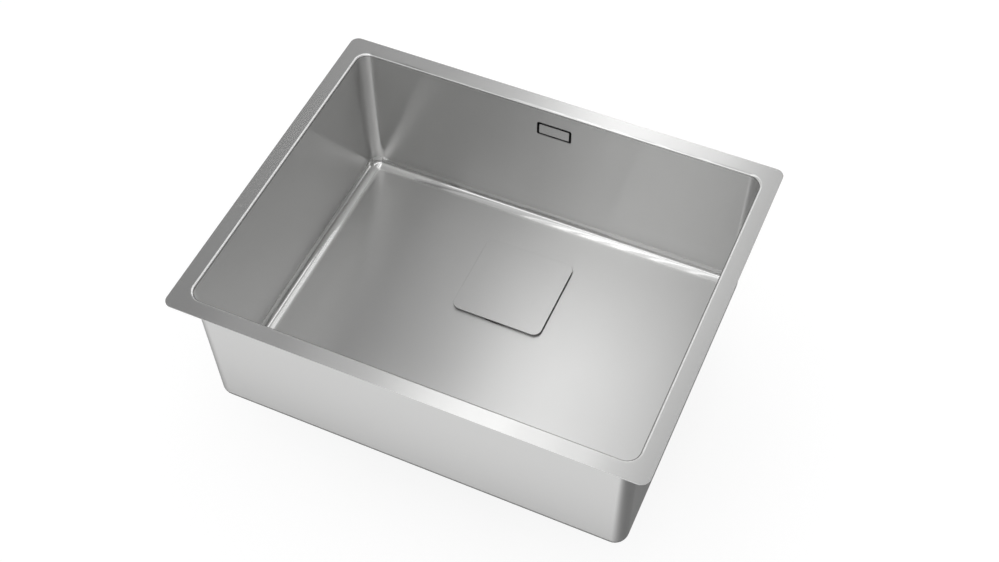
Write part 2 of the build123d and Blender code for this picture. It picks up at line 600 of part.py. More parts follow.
def ring_nut():
    """Ribbed compression nut. It opens towards +Z and the pipe leaves through its face at zero."""
    nut = disc(RING_NUT_RADIUS, 0, RING_NUT_HEIGHT)
    nut = chamfer(nut.edges().group_by(Axis.Z)[0], RING_NUT_FACE / 2)
    rib_height = RING_NUT_HEIGHT - RING_NUT_FACE
    rib = Pos(0, 0, RING_NUT_FACE + rib_height / 2) * Box(2 * RING_NUT_RIB, RING_NUT_RIB_WIDTH, rib_height)
    for turn in PolarLocations(RING_NUT_RADIUS, RING_NUT_RIBS):
        nut += turn * rib
    nut -= disc(SPIGOT_RADIUS + FIT, RING_NUT_FACE, RING_NUT_HEIGHT)
    return nut - disc(PIPE_RADIUS + 2 * FIT, 0, RING_NUT_FACE)


def seal_ring():
    """Tapered rubber ring between a spigot's end and its nut's face, round the pipe."""
    return spun(
        (PIPE_RADIUS + FIT, 0),
        (SPIGOT_RADIUS, 0),
        (SPIGOT_RADIUS, SEAL_RING_LENGTH - SEAL_RING_CHAMFER),
        (SPIGOT_RADIUS - SEAL_RING_CHAMFER, SEAL_RING_LENGTH),
        (PIPE_RADIUS + FIT, SEAL_RING_LENGTH),
    )


# The nut's face lies one seal and one face thickness past the spigot's end.
UPPER_NUT = BACK_WALL.location * Location(
    (0, UPPER_SPIGOT_END - SEAL_RING_LENGTH - RING_NUT_FACE, PIPE_FROM_WALL), (-90, 0, 0)
)
LOWER_NUT = Location((0, LOWER_SPIGOT_END + SEAL_RING_LENGTH + RING_NUT_FACE, LOWER_SPIGOT_Z), (90, 0, 0))


def overflow_pipe():
    """Rigid elbow pipe from the housing's spigot down and under the bowl to the waste body."""
    upper_stop = UPPER_SPIGOT_START - SPIGOT_SHOULDER - FIT
    start = BACK_WALL.from_local_coords((0, upper_stop, PIPE_FROM_WALL))
    straight_down = BACK_WALL.from_local_coords((0, upper_stop - 1, PIPE_FROM_WALL)) - start
    corner = start + straight_down * ((LOWER_SPIGOT_Z - start.Z) / straight_down.Z)
    end = Vector(0, LOWER_SPIGOT_START + SPIGOT_SHOULDER + FIT, LOWER_SPIGOT_Z)
    path = FilletPolyline(start, corner, end, radius=PIPE_BEND)
    section = Plane(origin=start, z_dir=straight_down) * (Circle(PIPE_RADIUS) - Circle(PIPE_BORE))
    return sweep(section, path=path)


# ------------------------------------------------------------------ sound pads
FLAT_X = FLOOR_WIDTH / 2 - FLOOR_BEND - PAD_MARGIN
FLAT_Y = FLOOR_DEPTH / 2 - FLOOR_BEND - PAD_MARGIN
WASTE_CLEAR = RECESS_RADIUS + PAD_GAP


def pad(x_low, x_high, y_low, y_high):
    """One self-adhesive pad on the floor's underside."""
    outline = RectangleRounded(x_high - x_low, y_high - y_low, PAD_CORNER)
    slab = extrude(outline, PAD_THICK)
    slab = chamfer(slab.edges().group_by(Axis.Z)[0], PAD_THICK / 4)
    return Pos((x_low + x_high) / 2, (y_low + y_high) / 2, UNDERSIDE_Z - PAD_THICK) * slab


def sound_pad_front():
    """Wide pad in front of the waste."""
    return pad(-FLAT_X, FLAT_X, -FLAT_Y, WASTE_Y - WASTE_CLEAR)


def sound_pad_left():
    """Pad to the left of the waste."""
    return pad(-FLAT_X, -WASTE_CLEAR, WASTE_Y - WASTE_CLEAR + PAD_GAP, FLAT_Y)


def sound_pad_right():
    """Pad to the right of the waste."""
    return pad(WASTE_CLEAR, FLAT_X, WASTE_Y - WASTE_CLEAR + PAD_GAP, FLAT_Y)


PIECES = {
    "bowl": bowl,
    "cup_gasket": cup_gasket,
    "strainer_cup": strainer_cup,
    "body_gasket": body_gasket,
    "waste_body": waste_body,
    "waste_spigot": waste_spigot,
    "waste_outlet": waste_outlet,
    "waste_bridge": waste_bridge,
    "clamp_insert": clamp_insert,
    "clamp_screw": clamp_screw,
    "basket": basket,
    "basket_seal": basket_seal,
    "seal_retainer": seal_retainer,
    "basket_stem": basket_stem,
    "basket_knob": basket_knob,
    "cover_plate": cover_plate,
    "cover_feet": cover_feet,
    "overflow_plate": overflow_plate,
    "overflow_gasket": overflow_gasket,
    "overflow_housing": overflow_housing,
    "overflow_studs": overflow_studs,
    "overflow_washers": overflow_washers,
    "overflow_nuts": overflow_nuts,
    "overflow_pipe": overflow_pipe,
    "upper_ring_nut": lambda: UPPER_NUT * ring_nut(),
    "upper_seal_ring": lambda: UPPER_NUT * Pos(0, 0, RING_NUT_FACE) * seal_ring(),
    "lower_ring_nut": lambda: LOWER_NUT * ring_nut(),
    "lower_seal_ring": lambda: LOWER_NUT * Pos(0, 0, RING_NUT_FACE) * seal_ring(),
    "sound_pad_front": sound_pad_front,
    "sound_pad_left": sound_pad_left,
    "sound_pad_right": sound_pad_right,
}

os.makedirs("parts", exist_ok=True)
for name, make in PIECES.items():
    made = make()
    solids = made if isinstance(made, list) else made.solids()
    shape = Compound(children=[s for s in solids]) if len(solids) > 1 else solids[0]
    export_step(shape, f"parts/{name}.step")
    print(name, len(solids), round(sum(s.volume for s in solids)))
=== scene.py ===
"""Looks of the undermount kitchen sink: finishes, modelled threads and fasteners, studio and camera.

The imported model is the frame. Metres, +Z up, +X to the right and +Y to the back as the user stands at the sink.
"""

import json
import logging
import math
from collections.abc import Callable
from dataclasses import dataclass, field
from enum import Enum

import bpy
from mathutils import Matrix, Vector


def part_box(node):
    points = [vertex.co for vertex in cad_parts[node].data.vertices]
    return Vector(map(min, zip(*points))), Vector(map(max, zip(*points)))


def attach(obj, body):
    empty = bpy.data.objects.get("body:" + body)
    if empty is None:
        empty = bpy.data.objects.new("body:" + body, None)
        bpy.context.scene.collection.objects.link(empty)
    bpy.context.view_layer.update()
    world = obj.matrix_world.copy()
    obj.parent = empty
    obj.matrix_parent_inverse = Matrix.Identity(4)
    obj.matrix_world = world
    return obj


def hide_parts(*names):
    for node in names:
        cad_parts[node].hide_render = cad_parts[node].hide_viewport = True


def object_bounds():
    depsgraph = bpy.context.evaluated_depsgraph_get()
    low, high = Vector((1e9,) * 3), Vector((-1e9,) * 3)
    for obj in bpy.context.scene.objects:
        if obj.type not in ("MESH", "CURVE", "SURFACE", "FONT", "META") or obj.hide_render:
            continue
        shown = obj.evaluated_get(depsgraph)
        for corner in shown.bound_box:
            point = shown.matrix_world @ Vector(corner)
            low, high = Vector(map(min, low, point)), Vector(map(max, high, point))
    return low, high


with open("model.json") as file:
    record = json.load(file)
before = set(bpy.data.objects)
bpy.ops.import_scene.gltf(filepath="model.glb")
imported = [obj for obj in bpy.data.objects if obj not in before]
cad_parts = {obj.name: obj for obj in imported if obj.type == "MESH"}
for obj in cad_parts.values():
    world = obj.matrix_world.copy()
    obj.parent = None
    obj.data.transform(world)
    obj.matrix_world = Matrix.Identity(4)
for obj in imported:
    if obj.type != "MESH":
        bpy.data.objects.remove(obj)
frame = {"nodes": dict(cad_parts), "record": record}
CAD_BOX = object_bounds()

LOG = logging.getLogger("sink")
MM = 0.001
LEVEL = 0.985  # a face is level where the upright part of its normal is over this
NOISE_RANGE = (0.3, 0.7)  # nearly all values of a noise lie in here
FLOOR_GAP = 0.0002  # from the object's lowest point down to the studio's floor
Colour = tuple[float, float, float]
Point = tuple[float, float, float]
Span = tuple[float, float]


class Slot(Enum):
    """Material slots of the record."""

    BOWL = "bowl_steel"
    COVER = "cover_steel"
    OVERFLOW = "overflow_steel"
    WASTE = "waste_steel"
    FASTENER = "fastener_steel"
    INSERT = "insert_brass"
    SEAL = "seal_rubber"
    PAD = "pad_rubber"
    FOOT = "foot_plastic"
    WASTE_PLASTIC = "waste_plastic"
    HOUSING = "housing_plastic"
    NUT = "nut_plastic"


class Body(Enum):
    """The frame's body that the modelled pieces belong to."""

    ROOT = "root"


class Brushing(Enum):
    """Which way the grooves of a brushed surface run."""

    LENGTHWISE = "along X all over"
    AROUND = "along X on level faces, level along the walls"
    TURNED = "in circles about the waste's axis"


# ---------------------------------------------------------------- node graphs
class Graph:
    """A material's or world's node tree, with short calls for the nodes used here."""

    def __init__(self, owner: bpy.types.Material | bpy.types.World) -> None:
        """Clears the owner's tree.

        Args:
            owner: The material or world whose nodes are made.
        """
        owner.use_nodes = True
        self.tree = owner.node_tree
        self.tree.nodes.clear()

    def node(self, kind: str, inputs: dict | None = None, **settings: object) -> bpy.types.Node:
        """Adds a node.

        Args:
            kind: Its bl_idname, such as ShaderNodeMath.
            inputs: Socket name or index to a constant or to another node's output socket.
            settings: Properties of the node itself.

        Returns:
            The node.
        """
        made = self.tree.nodes.new(kind)
        for key, value in settings.items():
            setattr(made, key, value)
        for key, value in (inputs or {}).items():
            self.feed(made.inputs[key], value)
        return made

    def feed(self, socket: bpy.types.NodeSocket, value: object) -> None:
        """Links an output to a socket, or sets the socket's constant."""
        if isinstance(value, bpy.types.NodeSocket):
            self.tree.links.new(value, socket)
        else:
            socket.default_value = value

    def math(self, operation: str, *values: object) -> bpy.types.NodeSocket:
        """A Math node's output, of the operation on one to three values."""
        return self.node("ShaderNodeMath", dict(enumerate(values)), operation=operation).outputs[0]

    def vector(self, operation: str, *values: object) -> bpy.types.NodeSocket:
        """A Vector Math node's vector output."""
        return self.node("ShaderNodeVectorMath", dict(enumerate(values)), operation=operation).outputs[0]

    def spread(
        self, value: object, low: float, high: float, to_low: float, to_high: float, interpolation: str = "LINEAR"
    ) -> bpy.types.NodeSocket:
        """A Map Range from low..high to to_low..to_high, clamped to it."""
        made = self.node(
            "ShaderNodeMapRange",
            {0: value, 1: low, 2: high, 3: to_low, 4: to_high},
            interpolation_type=interpolation,
        )
        return made.outputs[0]

    def blend(self, first: object, first_share: float, second: object, second_share: float) -> bpy.types.NodeSocket:
        """The sum of two values, each times its share."""
        return self.math("ADD", self.math("MULTIPLY", first, first_share), self.math("MULTIPLY", second, second_share))

    def noise(
        self, vector: object, scale: float = 1.0, detail: float = 2.0, roughness: float = 0.5
    ) -> bpy.types.NodeSocket:
        """A Noise texture's factor at the given coordinates."""
        made = self.node(
            "ShaderNodeTexNoise", {"Vector": vector, "Scale": scale, "Detail": detail, "Roughness": roughness}
        )
        return made.outputs[0]

    def mix(self, factor: object, first: object, second: object) -> bpy.types.NodeSocket:
        """Mixes two vectors."""
        made = self.node("ShaderNodeMix", data_type="VECTOR")
        self.feed(made.inputs[0], factor)
        self.feed(made.inputs[4], first)
        self.feed(made.inputs[5], second)
        return made.outputs[1]

    def shade(self, factor: object, dark: Colour, light: Colour) -> bpy.types.NodeSocket:
        """A colour between dark and light by factor."""
        made = self.node("ShaderNodeMix", data_type="RGBA")
        self.feed(made.inputs[0], factor)
        made.inputs[6].default_value = (*dark, 1.0)
        made.inputs[7].default_value = (*light, 1.0)
        return made.outputs[2]


def scaled(colour: Colour, by: float) -> Colour:
    """A colour made lighter or darker by a factor."""
    return tuple(min(1.0, channel * by) for channel in colour)


WASTE_AXIS = (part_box("strainer_cup")[0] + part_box("strainer_cup")[1]) / 2


# ---------------------------------------------------------------- finishes
@dataclass(frozen=True)
class BrushedSteel:
    """Stainless steel with fine grooves: reflections spread across them, and streaks run along them.

    Attributes:
        name: The material's name.
        brushing: Which way the grooves run.
        colour: The steel's mean colour.
        roughness: Its mean roughness.
        anisotropy: How far reflections are drawn out across the grooves, from 0 to 1.
        streak_length: Length of a fine streak, in metres.
        streak_width: Width of a fine streak, in metres.
        depth: Strength of the grooves' bump.
        patchiness: How far the colour strays from its mean, as a share.
        groove_height: Height of the grooves' bump, in metres.
        broadness: Size of the fine streaks against the broad ones.
        streak_shares: Weights of the fine and the broad streaks.
        tint_shares: Weights of all the streaks and of the cloudy patches.
        cloud_scale: Cloudy patches per metre.
        gloss_range: The least and the most that the roughness is multiplied by.
        side_range: How far a wall faces sideways where its streaks turn to run from front to back.
        turned_radius: Radius at which turned streaks have their stated length, in metres.
    """

    name: str
    brushing: Brushing
    colour: Colour = (0.655, 0.655, 0.65)
    roughness: float = 0.34
    anisotropy: float = 0.97
    streak_length: float = 0.06
    streak_width: float = 0.0005
    depth: float = 0.015
    patchiness: float = 0.02
    groove_height: float = 0.0002
    broadness: float = 0.12
    streak_shares: Span = (0.6, 0.4)
    tint_shares: Span = (0.55, 0.45)
    cloud_scale: float = 7.0
    gloss_range: Span = (0.93, 1.07)
    side_range: Span = (0.55, 0.8)
    turned_radius: float = 0.05

    def make(self) -> bpy.types.Material:
        """Builds the material.

        Returns:
            The material.
        """
        material = bpy.data.materials.new(self.name)
        graph = Graph(material)
        place = graph.node("ShaderNodeTexCoord").outputs["Object"]
        normal = graph.node("ShaderNodeNewGeometry").outputs["Normal"]
        streaks, groove = self.grooves(graph, place, normal)
        across = graph.vector("NORMALIZE", graph.vector("CROSS_PRODUCT", normal, groove))
        fine = graph.noise(streaks, detail=3.0, roughness=0.65)
        broad = graph.noise(graph.vector("MULTIPLY", streaks, (self.broadness,) * 3))
        cloud = graph.noise(place, self.cloud_scale, detail=3.0, roughness=0.6)
        level = graph.blend(fine, self.streak_shares[0], broad, self.streak_shares[1])
        tint = graph.blend(level, self.tint_shares[0], cloud, self.tint_shares[1])
        bump = graph.node("ShaderNodeBump", {"Strength": self.depth, "Distance": self.groove_height, "Height": level})
        shader = graph.node(
            "ShaderNodeBsdfPrincipled",
            {
                "Base Color": graph.shade(
                    tint, scaled(self.colour, 1 - self.patchiness), scaled(self.colour, 1 + self.patchiness)
                ),
                "Metallic": 1.0,
                "Roughness": graph.math(
                    "MULTIPLY", graph.spread(tint, *NOISE_RANGE, *self.gloss_range), self.gloss(graph, place, normal)
                ),
                "Anisotropic": self.anisotropy,
                "Tangent": across,
                "Normal": bump.outputs[0],
            },
        )
        graph.node("ShaderNodeOutputMaterial", {"Surface": shader.outputs[0]})
        return material

    def grooves(
        self, graph: Graph, place: bpy.types.NodeSocket, normal: bpy.types.NodeSocket
    ) -> tuple[bpy.types.NodeSocket, bpy.types.NodeSocket]:
        """Coordinates that are long along the grooves, and the grooves' direction.

        Args:
            graph: The material's graph.
            place: Object coordinates.
            normal: The surface's normal.

        Returns:
            The streaks' coordinates and the grooves' direction.
        """
        along, wide = 1 / self.streak_length, 1 / self.streak_width
        lengthwise = graph.vector("MULTIPLY", place, (along, wide, wide))
        if self.brushing is Brushing.LENGTHWISE:
            return lengthwise, graph.node("ShaderNodeCombineXYZ", {0: 1.0}).outputs[0]
        if self.brushing is Brushing.TURNED:
            return self.turned(graph, place, along, wide)
        parts = graph.node("ShaderNodeSeparateXYZ", {0: normal})
        side = graph.spread(graph.math("ABSOLUTE", parts.outputs[0]), *self.side_range, 0.0, 1.0)
        crosswise = graph.vector("MULTIPLY", place, (wide, along, wide))
        level_way = graph.vector("CROSS_PRODUCT", (0.0, 0.0, 1.0), normal)
        flat = graph.math("GREATER_THAN", graph.math("ABSOLUTE", parts.outputs[2]), LEVEL)
        return graph.mix(side, lengthwise, crosswise), graph.mix(flat, level_way, (1.0, 0.0, 0.0))

    def gloss(
        self, graph: Graph, place: bpy.types.NodeSocket, normal: bpy.types.NodeSocket
    ) -> bpy.types.NodeSocket | float:
        """The mean roughness, the same all over."""
        return self.roughness

    def turned(
        self, graph: Graph, place: bpy.types.NodeSocket, along: float, wide: float
    ) -> tuple[bpy.types.NodeSocket, bpy.types.NodeSocket]:
        """Grooves in circles about the waste's upright axis.

        Args:
            graph: The material's graph.
            place: Object coordinates.
            along: Streaks per metre along a groove.
            wide: Streaks per metre across the grooves.

        Returns:
            The streaks' coordinates and the grooves' direction.
        """
        arm = graph.vector("SUBTRACT", place, (WASTE_AXIS.x, WASTE_AXIS.y, 0.0))
        parts = graph.node("ShaderNodeSeparateXYZ", {0: arm})
        radius = graph.node("ShaderNodeVectorMath", {0: graph.vector("MULTIPLY", arm, (1, 1, 0))}, operation="LENGTH")
        angle = graph.math("ARCTAN2", parts.outputs[1], parts.outputs[0])
        turns = graph.node(
            "ShaderNodeCombineXYZ",
            {
                0: graph.math("MULTIPLY", radius.outputs["Value"], wide),
                1: graph.math("MULTIPLY", angle, self.turned_radius * along),
                2: graph.math("MULTIPLY", parts.outputs[2], wide),
            },
        )
        return turns.outputs[0], graph.vector("CROSS_PRODUCT", (0.0, 0.0, 1.0), arm)


@dataclass(frozen=True)
class PressedSteel(BrushedSteel):
    """Brushed steel pressed into a bowl: the drawn bends are burnished, the rim is fine and the floor is dullest.

    Attributes:
        rim: Roughness of level faces at the rim.
        floor: Roughness of level faces below the rim.
        wall: Roughness of the walls.
        bend: Roughness of the bends.
        rim_depth: How far down the rim's roughness gives way to the floor's, in metres.
        bend_range: Slopes between which a wall's roughness gives way to a bend's.
        flat_from: Slope from which a bend's roughness gives way to that of level faces.
    """

    rim: float = 0.24
    floor: float = 0.34
    wall: float = 0.3
    bend: float = 0.1
    rim_depth: float = 0.02
    bend_range: Span = (0.04, 0.16)
    flat_from: float = 0.93

    def gloss(
        self, graph: Graph, place: bpy.types.NodeSocket, normal: bpy.types.NodeSocket
    ) -> bpy.types.NodeSocket | float:
        """The roughness of the rim, floor, walls and bends, told apart by height and by the surface's slope."""
        slope = graph.math("ABSOLUTE", graph.node("ShaderNodeSeparateXYZ", {0: normal}).outputs[2])
        height = graph.node("ShaderNodeSeparateXYZ", {0: place}).outputs[2]
        level = graph.spread(height, -self.rim_depth, 0.0, self.floor, self.rim)
        curved = graph.spread(slope, *self.bend_range, self.wall, self.bend)
        flat = graph.spread(slope, self.flat_from, LEVEL, 0.0, 1.0)
        pressed = graph.math("MULTIPLY", graph.math("SUBTRACT", 1.0, flat), curved)
        return graph.math("MULTIPLY_ADD", flat, level, pressed)


@dataclass(frozen=True)
class Moulded:
    """Moulded plastic or rubber: a fine eroded texture, and faint patches of colour and gloss."""

    name: str
    colour: Colour
    roughness: float
    grain: float = 0.0006
    depth: float = 0.25
    patchiness: float = 0.12
    sheen: float = 0.0
    grain_height: float = 0.0001
    cloud_scale: float = 35.0
    gloss_play: float = 0.05

    def make(self) -> bpy.types.Material:
        """Builds the material.

        Returns:
            The material.
        """
        material = bpy.data.materials.new(self.name)
        graph = Graph(material)
        place = graph.node("ShaderNodeTexCoord").outputs["Object"]
        grain = graph.noise(place, 1 / self.grain, roughness=0.6)
        cloud = graph.noise(place, self.cloud_scale, detail=4.0, roughness=0.55)
        bump = graph.node("ShaderNodeBump", {"Strength": self.depth, "Distance": self.grain_height, "Height": grain})
        shader = graph.node(
            "ShaderNodeBsdfPrincipled",
            {
                "Base Color": graph.shade(
                    cloud, scaled(self.colour, 1 - self.patchiness), scaled(self.colour, 1 + self.patchiness)
                ),
                "Roughness": graph.spread(
                    cloud, *NOISE_RANGE, self.roughness - self.gloss_play, self.roughness + self.gloss_play
                ),
                "Sheen Weight": self.sheen,
                "Normal": bump.outputs[0],
            },
        )
        graph.node("ShaderNodeOutputMaterial", {"Surface": shader.outputs[0]})
        return material


@dataclass(frozen=True)
class TurnedBrass:
    """Brass turned on a lathe: fine rings, a little tarnish in patches."""

    name: str
    colour: Colour = (0.72, 0.55, 0.27)
    roughness: float = 0.3
    depth: float = 0.15
    ring_scale: Point = (200.0, 200.0, 9000.0)
    ring_height: float = 0.0001
    tarnish_scale: float = 160.0
    tarnish_colours: Span = (0.8, 1.06)
    glossier: float = 0.05
    duller: float = 0.1

    def make(self) -> bpy.types.Material:
        """Builds the material.

        Returns:
            The material.
        """
        material = bpy.data.materials.new(self.name)
        graph = Graph(material)
        place = graph.node("ShaderNodeTexCoord").outputs["Object"]
        tarnish = graph.noise(place, self.tarnish_scale, detail=4.0, roughness=0.6)
        rings = graph.noise(graph.vector("MULTIPLY", place, self.ring_scale))
        bump = graph.node("ShaderNodeBump", {"Strength": self.depth, "Distance": self.ring_height, "Height": rings})
        dark, light = (scaled(self.colour, by) for by in self.tarnish_colours)
        shader = graph.node(
            "ShaderNodeBsdfPrincipled",
            {
                "Base Color": graph.shade(tarnish, dark, light),
                "Metallic": 1.0,
                "Roughness": graph.spread(
                    tarnish, *NOISE_RANGE, self.roughness - self.glossier, self.roughness + self.duller
                ),
                "Normal": bump.outputs[0],
            },
        )
        graph.node("ShaderNodeOutputMaterial", {"Surface": shader.outputs[0]})
        return material


Finish = BrushedSteel | Moulded | TurnedBrass

FINISHES: dict[Slot, Finish] = {
    Slot.BOWL: PressedSteel("bowl_steel", Brushing.AROUND),
    Slot.COVER: BrushedSteel("cover_steel", Brushing.LENGTHWISE, colour=(0.635, 0.635, 0.63)),
    Slot.OVERFLOW: BrushedSteel("overflow_steel", Brushing.LENGTHWISE, roughness=0.24),
    Slot.WASTE: BrushedSteel("waste_steel", Brushing.TURNED, colour=(0.7, 0.7, 0.69), roughness=0.2),
    Slot.FASTENER: BrushedSteel("fastener_steel", Brushing.LENGTHWISE, colour=(0.6, 0.6, 0.6), anisotropy=0.2),
    Slot.INSERT: TurnedBrass("insert_brass"),
    Slot.SEAL: Moulded("seal_rubber", (0.03, 0.03, 0.032), 0.6, sheen=0.1),
    Slot.PAD: Moulded("pad_rubber", (0.12, 0.12, 0.125), 0.75, grain=0.0012, depth=0.5),
    Slot.FOOT: Moulded("foot_plastic", (0.05, 0.05, 0.052), 0.5),
    Slot.WASTE_PLASTIC: Moulded("waste_plastic", (0.42, 0.43, 0.44), 0.42, patchiness=0.05),
    Slot.HOUSING: Moulded("housing_plastic", (0.04, 0.04, 0.042), 0.45),
    Slot.NUT: Moulded("nut_plastic", (0.06, 0.06, 0.063), 0.5),
}


class Wardrobe:
    """Every finish, built once, and put on CAD nodes and new pieces."""

    def __init__(self) -> None:
        """Builds the materials."""
        self.materials = {slot: finish.make() for slot, finish in FINISHES.items()}

    def dress(self, piece: bpy.types.Object, slot: Slot) -> None:
        """Gives a piece the finish of a slot.

        Args:
            piece: A CAD node or a new piece.
            slot: The record's slot.
        """
        piece.data.materials.clear()
        piece.data.materials.append(self.materials[slot])

    def dress_nodes(self, slot: Slot, *names: str) -> None:
        """Dresses CAD nodes by name."""
        for name in names:
            self.dress(frame["nodes"][name], slot)
            LOG.info("%s wears %s", name, slot.value)


# ---------------------------------------------------------------- modelling
WELD = 1e-6  # points nearer to each other than this are one, in metres
ON_PLANE = 1e-7  # points nearer to a cutting plane than this lie on it, in metres
PAST = 1.0 * MM  # how far a cutter reaches past what it cuts
SPARE_TURNS = 3  # turns of a thread beyond its length, half of them at each end
AXIS_MARGIN = 0.01  # keeps a unit circle's points on its axis when the half beside it is deleted
ROUND = 96  # corners of a large round
HEAD_ROUND = 64  # corners of a screw's head
HULL_ROUND = 50  # corners of a small thread's hull, out of step with the thread's own
HOLE_ROUND = 48  # corners of a small hole
HEXAGON = 6


class Join(Enum):
    """How one form is joined with another."""

    CUT = "DIFFERENCE"
    KEEP = "INTERSECT"
    ADD = "UNION"


@dataclass(frozen=True)
class Thread:
    """A screw thread's sizes, in metres, and how round its crests are.

    Attributes:
        crest: Radius over the crests before they are turned off.
        root: Radius at the roots.
        pitch: Rise in one turn.
        corners: Corners of the circle whose half is the thread's profile.
        steps: Steps in one turn.
        turned_off: How much is turned off the crests, so that they end in narrow flats.
    """

    crest: float
    root: float
    pitch: float
    corners: int = 4
    steps: int = 48
    turned_off: float = 0.03 * MM

    @property
    def over(self) -> float:
        """Radius over the flats."""
        return self.crest - self.turned_off

    @property
    def chamfer(self) -> float:
        """Width of the chamfer at a screw's or stud's end."""
        return self.crest / 4


class Form:
    """A piece on the bench, shaped with Blender's own operators while nothing else is selected."""

    def __init__(self, piece: bpy.types.Object, name: str) -> None:
        """Takes a new primitive.

        Args:
            piece: The primitive.
            name: What the piece is called.
        """
        self.piece = piece
        piece.name = name
        self.settle()

    @classmethod
    def rod(cls, name: str, radius: float, low: float, high: float, corners: int = ROUND) -> "Form":
        """Starts from a cylinder about Z, from low to high."""
        bpy.ops.object.select_all(action="DESELECT")
        bpy.ops.mesh.primitive_cylinder_add(
            vertices=corners, radius=radius, depth=high - low, location=(0.0, 0.0, (low + high) / 2)
        )
        return cls(bpy.context.object, name)

    @classmethod
    def threaded(cls, name: str, thread: Thread, low: float, high: float) -> "Form":
        """Winds a thread about Z and cuts it off square at both ends.

        Args:
            name: What the piece is called.
            thread: The thread's sizes.
            low: Its lower end.
            high: Its upper end.

        Returns:
            A closed rod with the thread round it.
        """
        bpy.ops.object.select_all(action="DESELECT")
        bpy.ops.mesh.primitive_circle_add(vertices=thread.corners, radius=1.0, rotation=(math.pi / 2, 0.0, 0.0))
        form = cls(bpy.context.object, name)
        form.pick("vertices", lambda vertex: vertex.co.x < -AXIS_MARGIN)
        bpy.ops.mesh.delete(type="VERT")
        bpy.ops.mesh.select_all(action="SELECT")
        flank = (thread.crest - thread.root, 1.0, thread.pitch / 2)
        bpy.ops.transform.resize(value=flank, center_override=(0.0, 0.0, 0.0))
        bpy.ops.transform.translate(value=(thread.root, 0.0, low - SPARE_TURNS / 2 * thread.pitch))
        bpy.ops.object.mode_set(mode="OBJECT")
        form.modify(
            "SCREW",
            axis="Z",
            angle=2 * math.pi,
            screw_offset=thread.pitch,
            iterations=math.ceil((high - low) / thread.pitch) + SPARE_TURNS,
            steps=thread.steps,
            render_steps=thread.steps,
        )
        form.pick("vertices", lambda vertex: True)
        bpy.ops.mesh.remove_doubles(threshold=WELD)
        for height, side in ((low, "clear_inner"), (high, "clear_outer")):
            bpy.ops.mesh.select_all(action="SELECT")
            bpy.ops.mesh.bisect(
                plane_co=(0, 0, height), plane_no=(0, 0, 1), use_fill=True, threshold=ON_PLANE, **{side: True}
            )
        bpy.ops.mesh.select_all(action="SELECT")
        bpy.ops.mesh.normals_make_consistent(inside=False)
        bpy.ops.object.mode_set(mode="OBJECT")
        return form

    def take(self) -> None:
        """Selects this piece alone, in object mode."""
        bpy.ops.object.select_all(action="DESELECT")
        self.piece.select_set(True)
        bpy.context.view_layer.objects.active = self.piece

    def settle(self) -> None:
        """Puts the object's place, turn and scale into its mesh."""
        self.take()
        bpy.ops.object.transform_apply(location=True, rotation=True, scale=True)

    def pick(self, kind: str, test: Callable[[object], bool]) -> None:
        """Enters edit mode with the elements selected that pass a test.

        Args:
            kind: "vertices", "edges" or "polygons".
            test: Tells whether an element is wanted.
        """
        self.take()
        mesh = self.piece.data
        for group in (mesh.vertices, mesh.edges, mesh.polygons):
            group.foreach_set("select", [False] * len(group))
        for element in getattr(mesh, kind):
            element.select = test(element)
        bpy.ops.object.mode_set(mode="EDIT")
        bpy.ops.mesh.select_mode(type={"vertices": "VERT", "edges": "EDGE", "polygons": "FACE"}[kind])

    def modify(self, kind: str, **settings: object) -> None:
        """Adds a modifier and applies it."""
        self.take()
        bpy.ops.object.modifier_add(type=kind)
        modifier = self.piece.modifiers[-1]
        for key, value in settings.items():
            setattr(modifier, key, value)
        bpy.ops.object.modifier_apply(modifier=modifier.name)

    def bevel_end(self, height: float, width: float, segments: int = 1) -> "Form":
        """Breaks the edge round the end at a height.

        Args:
            height: Where the end is along Z.
            width: How far the bevel runs in.
            segments: Steps across it; more than one makes it round.

        Returns:
            The form itself.
        """
        places = self.piece.data.vertices
        self.pick("edges", lambda edge: all(abs(places[i].co.z - height) < WELD for i in edge.vertices))
        bpy.ops.mesh.bevel(offset=width, segments=segments, affect="EDGES")
        bpy.ops.object.mode_set(mode="OBJECT")
        return self

    def join(self, how: Join, *tools: "Form") -> "Form":
        """Cuts, keeps or adds other forms, which are used up.

        Args:
            how: What is done with them.
            tools: The other forms.

        Returns:
            The form itself.
        """
        for tool in tools:
            self.modify("BOOLEAN", object=tool.piece, operation=how.value, solver="EXACT")
            bpy.data.objects.remove(tool.piece)
        return self

    def put(self, place: Vector, tilt: float = 0.0) -> "Form":
        """Turns the form about X by tilt, in radians, and then sets its origin at a place."""
        self.piece.rotation_euler = (tilt, 0.0, 0.0)
        self.piece.location = place
        self.settle()
        return self

    def copy(self, name: str) -> "Form":
        """A copy with its own mesh."""
        twin = self.piece.copy()
        twin.data = self.piece.data.copy()
        bpy.context.scene.collection.objects.link(twin)
        return Form(twin, name)

    def finish(self, wardrobe: Wardrobe, slot: Slot, body: Body, node: str, crease: float = 32.0) -> None:
        """Smooths and dresses the piece, and puts it in a CAD node's place.

        Args:
            wardrobe: The finishes.
            slot: Its material slot.
            body: The body that it moves with.
            node: The CAD node that it stands for.
            crease: Edges sharper than this, in degrees, stay crisp.
        """
        self.take()
        bpy.ops.object.shade_smooth_by_angle(angle=math.radians(crease))
        wardrobe.dress(self.piece, slot)
        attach(self.piece, body.value)
        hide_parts(node)
        LOG.info("%s made for %s", self.piece.name, node)


